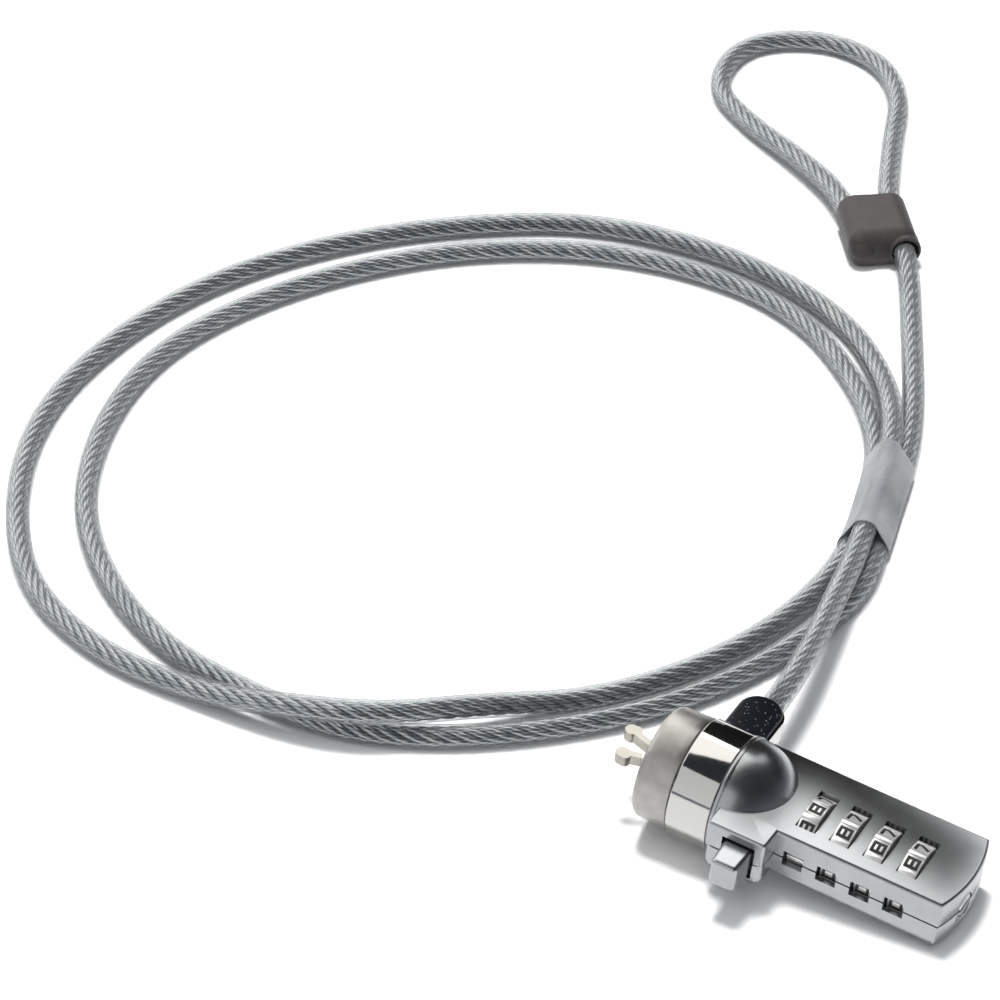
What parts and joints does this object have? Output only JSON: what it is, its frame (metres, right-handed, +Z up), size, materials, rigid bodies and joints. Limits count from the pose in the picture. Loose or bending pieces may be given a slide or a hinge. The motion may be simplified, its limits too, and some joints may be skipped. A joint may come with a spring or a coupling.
{
  "type": "laptop cable lock",
  "caption": "Combination laptop lock with number wheels, side button, scissor claws for a security slot and a swivelling collar on a coiled steel cable with an eye.",
  "frame": {"origin": "middle of the lock head's footprint, on the floor it lies on", "axes": "+X along the head to its screw end, +Y to the side the cable leaves, +Z up"},
  "size_m": [0.2211, 0.2704, 0.0224],
  "materials": {
    "casing_metal": "satin silver plating over die-cast zinc",
    "collar_chrome": "mirror chrome",
    "ring_metal": "satin nickel",
    "wheel_metal": "satin silver",
    "hub_metal": "plain brass",
    "claw_metal": "warm nickel",
    "hidden_steel": "plain steel",
    "boot_black": "black, fine sand texture",
    "cable_jacket": "clear soft jacket over galvanised wire rope",
    "ferrule_metal": "satin, crimped",
    "band_film": "clear film"
  },
  "bodies": {
    "casing": {"upper_casing": "casing_metal", "lower_casing": "casing_metal", "casing_screws": "hidden_steel", "neck_tube": "hidden_steel", "front_ring": "ring_metal", "claw_pivot_pin": "hidden_steel", "detent_spring": "hidden_steel", "drawbar_spring": "hidden_steel", "button_spring": "hidden_steel"},
    "collar": {"swivel_collar": "collar_chrome", "cable_boot": "boot_black", "cable_pin": "hidden_steel", "cable": "cable_jacket", "ferrule": "ferrule_metal", "tie_band": "band_film"},
    "claw_left": {"claw_left": "claw_metal"},
    "claw_right": {"claw_right": "claw_metal"},
    "drawbar": {"drawbar": "hidden_steel", "spindle": "hidden_steel"},
    "button": {"push_button": "casing_metal"},
    "reset_screw": {"reset_screw": "hidden_steel"},
    "wheel_1": {"number_wheel_1": "wheel_metal", "clutch_hub_1": "hub_metal"},
    "wheel_2": {"number_wheel_2": "wheel_metal", "clutch_hub_2": "hub_metal"},
    "wheel_3": {"number_wheel_3": "wheel_metal", "clutch_hub_3": "hub_metal"},
    "wheel_4": {"number_wheel_4": "wheel_metal", "clutch_hub_4": "hub_metal"}
  },
  "joints": [
    {"name": "collar_swivel", "type": "hinge", "parent": "casing", "child": "collar", "pos_m": [0.0028, -0.0014, 0.00922], "axis": [0.9936, 0, -0.1132], "continuous": true},
    {"name": "button_press", "type": "slide", "parent": "casing", "child": "button", "axis": [0, 1, 0], "range_m": [0, 0.002], "stiffness_N_per_m": 300, "springref_m": -0.002, "deforming": ["button_spring"]},
    {"name": "drawbar_slide", "type": "slide", "parent": "casing", "child": "drawbar", "axis": [0.9936, 0, -0.1132], "range_m": [0, 0.0016], "stiffness_N_per_m": 250, "springref_m": -0.002, "deforming": ["drawbar_spring"]},
    {"name": "claw_left_close", "type": "hinge", "parent": "casing", "child": "claw_left", "pos_m": [-0.02194, -0.0014, 0.01204], "axis": [0.1132, 0, 0.9936], "range_deg": [0, 10]},
    {"name": "claw_right_close", "type": "hinge", "parent": "casing", "child": "claw_right", "pos_m": [-0.02194, -0.0014, 0.01204], "axis": [0.1132, 0, 0.9936], "range_deg": [-10, 0]},
    {"name": "wheel_1_turn", "type": "hinge", "parent": "casing", "child": "wheel_1", "pos_m": [0.00467, -0.00275, 0.00901], "axis": [0.9936, 0, -0.1132], "continuous": true},
    {"name": "wheel_2_turn", "type": "hinge", "parent": "casing", "child": "wheel_2", "pos_m": [0.01086, -0.00275, 0.0083], "axis": [0.9936, 0, -0.1132], "continuous": true},
    {"name": "wheel_3_turn", "type": "hinge", "parent": "casing", "child": "wheel_3", "pos_m": [0.01705, -0.00275, 0.0076], "axis": [0.9936, 0, -0.1132], "continuous": true},
    {"name": "wheel_4_turn", "type": "hinge", "parent": "casing", "child": "wheel_4", "pos_m": [0.02324, -0.00275, 0.00689], "axis": [0.9936, 0, -0.1132], "continuous": true},
    {"name": "reset_screw_turn", "type": "hinge", "parent": "casing", "child": "reset_screw", "pos_m": [0.03062, -0.00275, 0.00605], "axis": [0.9936, 0, -0.1132], "range_deg": [0, 90]}
  ],
  "couplings": [
    {"joint": "drawbar_slide", "follows": "button_press", "ratio": 0.8},
    {"joint": "claw_left_close", "follows": "button_press", "rad_per_m": 87},
    {"joint": "claw_right_close", "follows": "button_press", "rad_per_m": -87}
  ]
}
